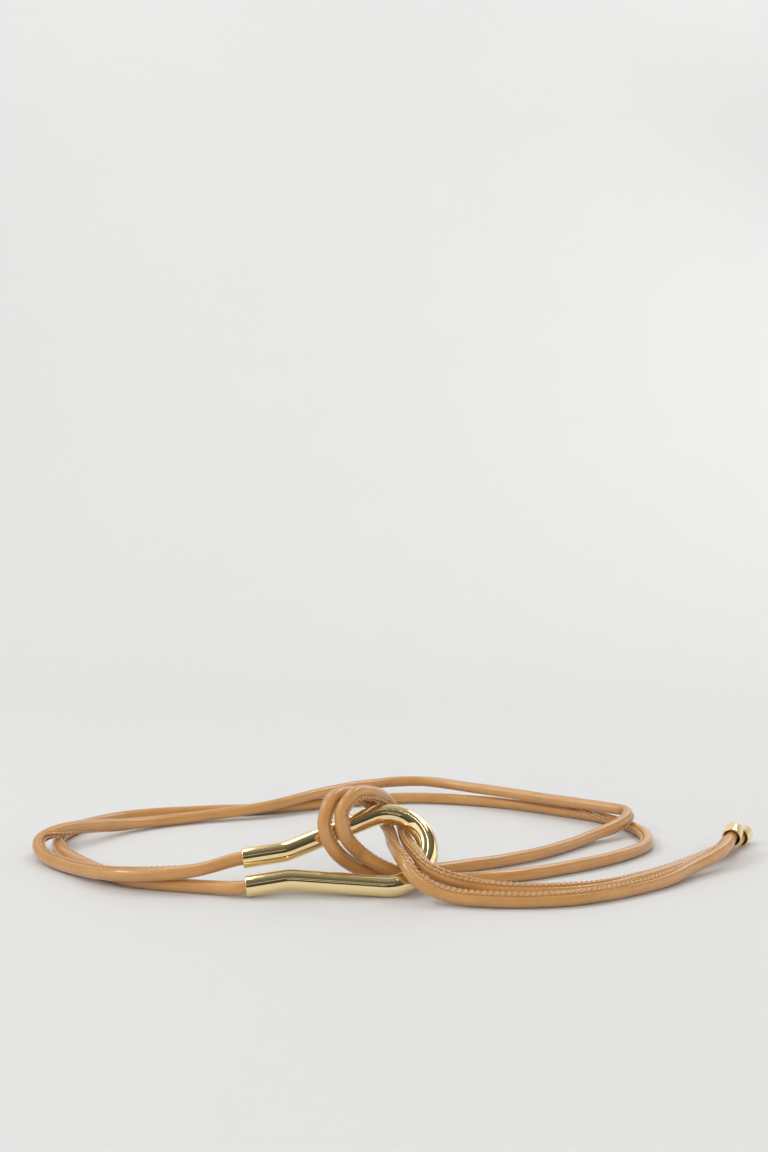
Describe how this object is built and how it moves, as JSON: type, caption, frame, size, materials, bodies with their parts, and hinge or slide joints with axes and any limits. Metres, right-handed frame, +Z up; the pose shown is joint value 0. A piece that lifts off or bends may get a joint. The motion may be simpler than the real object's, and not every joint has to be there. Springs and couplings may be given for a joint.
{
  "type": "wrap belt",
  "caption": "Wrap belt of round stitched leather strands set in a bent metal hook, tied round it as worn, with metal end caps on the free ends.",
  "frame": {"origin": "on the floor, under the middle of the belt's bounding box as it lies", "axes": "+X to the belt's right, towards the free ends; +Y to its back, away from the hook; +Z up from the floor"},
  "size_m": [0.3944, 0.2363, 0.0498],
  "materials": {
    "tan_leather": "smooth tan leather with a stitched seam",
    "gold_metal": "mirror polished, pale gold"
  },
  "bodies": {
    "root": {"hook": "gold_metal", "upper_strand": "tan_leather", "lower_strand": "tan_leather", "upper_strand_cap": "gold_metal", "lower_strand_cap": "gold_metal"}
  },
  "joints": []
}
